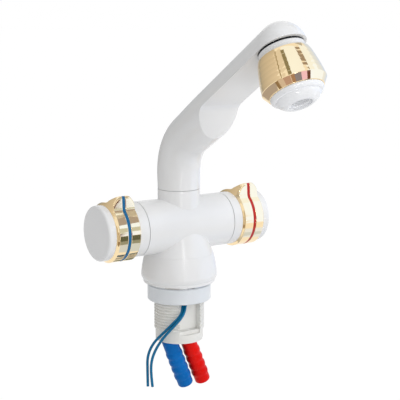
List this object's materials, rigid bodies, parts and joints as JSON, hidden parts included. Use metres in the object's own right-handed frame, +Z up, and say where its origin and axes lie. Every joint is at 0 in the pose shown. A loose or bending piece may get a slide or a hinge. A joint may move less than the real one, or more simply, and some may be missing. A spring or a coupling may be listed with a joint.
{
  "type": "mixer tap",
  "caption": "Deck mixer tap with side handles, a swivelling cranked spout with a twist spray head, a threaded shank with nut, barbed hose tails and switch wires.",
  "frame": {"origin": "centre of the underside of the deck seal, on the shank's axis", "axes": "+Z up along the swivel axis, the spout points along -Y, cold is on -X and hot on +X"},
  "size_m": [0.1226, 0.1584, 0.2424],
  "materials": {
    "white_gloss": "polished white",
    "gold_plate": "polished gold plating",
    "marker_blue": "polished",
    "marker_red": "polished",
    "tail_blue": "moulded",
    "tail_red": "moulded",
    "cream_plastic": "moulded",
    "pale_plastic": "moulded",
    "white_seal": "moulded",
    "core_plastic": "moulded",
    "black_rubber": "moulded",
    "steel": "brushed",
    "bare_brass": "turned",
    "disc_ceramic": "ground",
    "black_plastic": "moulded",
    "wire_blue": "extruded sleeve"
  },
  "bodies": {
    "body": {"tap_body": "white_gloss", "base_skirt": "white_gloss", "deck_seal": "white_seal", "threaded_shank": "cream_plastic", "clamp_ring": "bare_brass", "tail_orings": "black_rubber", "mixing_core": "core_plastic", "spout_socket": "core_plastic", "switch_links": "wire_blue", "outer_wire": "wire_blue", "inner_wire": "wire_blue", "cold_hose_tail": "tail_blue", "cold_riser_tube": "steel", "cold_valve_seal": "black_rubber", "cold_fixed_disc": "disc_ceramic", "cold_headwork": "bare_brass", "cold_microswitch": "black_plastic", "cold_lead": "wire_blue", "hot_hose_tail": "tail_red", "hot_riser_tube": "steel", "hot_valve_seal": "black_rubber", "hot_fixed_disc": "disc_ceramic", "hot_headwork": "bare_brass", "hot_microswitch": "black_plastic", "hot_lead": "wire_blue"},
    "spout": {"spout_arm": "white_gloss", "spout_orings": "black_rubber", "spout_circlip": "steel", "head_seal": "black_rubber", "head_collar": "white_gloss"},
    "spray_head": {"head_cap": "gold_plate", "nozzle": "white_gloss", "flow_insert": "core_plastic", "mesh_screen": "steel"},
    "washer": {"slip_washer": "steel"},
    "nut": {"fixing_nut": "pale_plastic"},
    "cold_handle": {"cold_handle_sleeve": "white_gloss", "cold_grip_inner": "gold_plate", "cold_marker_ring": "marker_blue", "cold_grip_outer": "gold_plate", "cold_end_cap": "white_gloss", "cold_handle_screw": "steel", "cold_spindle": "bare_brass", "cold_spindle_oring": "black_rubber", "cold_turning_disc": "disc_ceramic", "cold_switch_cam": "black_plastic"},
    "cold_plunger": {"cold_switch_plunger": "black_plastic"},
    "hot_handle": {"hot_handle_sleeve": "white_gloss", "hot_grip_inner": "gold_plate", "hot_marker_ring": "marker_red", "hot_grip_outer": "gold_plate", "hot_end_cap": "white_gloss", "hot_handle_screw": "steel", "hot_spindle": "bare_brass", "hot_spindle_oring": "black_rubber", "hot_turning_disc": "disc_ceramic", "hot_switch_cam": "black_plastic"},
    "hot_plunger": {"hot_switch_plunger": "black_plastic"}
  },
  "joints": [
    {"name": "spout_swivel", "type": "hinge", "parent": "body", "child": "spout", "pos_m": [0, 0, 0.0613], "axis": [0, 0, 1], "continuous": true},
    {"name": "spray_head_twist", "type": "hinge", "parent": "spout", "child": "spray_head", "pos_m": [0, -0.10493, 0.15346], "axis": [0, -0.524, -0.8517], "range_deg": [0, 90]},
    {"name": "cold_handle_turn", "type": "hinge", "parent": "body", "child": "cold_handle", "pos_m": [0, 0, 0.0378], "axis": [1, 0, 0], "range_deg": [0, 90]},
    {"name": "cold_plunger_travel", "type": "slide", "parent": "body", "child": "cold_plunger", "axis": [0, 0, -1], "range_m": [0, 0.00101]},
    {"name": "hot_handle_turn", "type": "hinge", "parent": "body", "child": "hot_handle", "pos_m": [0, 0, 0.0378], "axis": [1, 0, 0], "range_deg": [0, 90]},
    {"name": "hot_plunger_travel", "type": "slide", "parent": "body", "child": "hot_plunger", "axis": [0, 0, -1], "range_m": [0, 0.00101]},
    {"name": "nut_travel", "type": "slide", "parent": "body", "child": "washer", "axis": [0, 0, -1], "range_m": [0, 0.004]},
    {"name": "nut_spin", "type": "hinge", "parent": "washer", "child": "nut", "pos_m": [0, 0, -0.00673], "axis": [0, 0, -1], "range_deg": [0, 721]}
  ],
  "couplings": [
    {"joint": "cold_plunger_travel", "follows": "cold_handle_turn", "m_per_rad": 0.00063662},
    {"joint": "hot_plunger_travel", "follows": "hot_handle_turn", "m_per_rad": 0.00063662},
    {"joint": "nut_spin", "follows": "nut_travel", "rad_per_m": 3141.6}
  ]
}
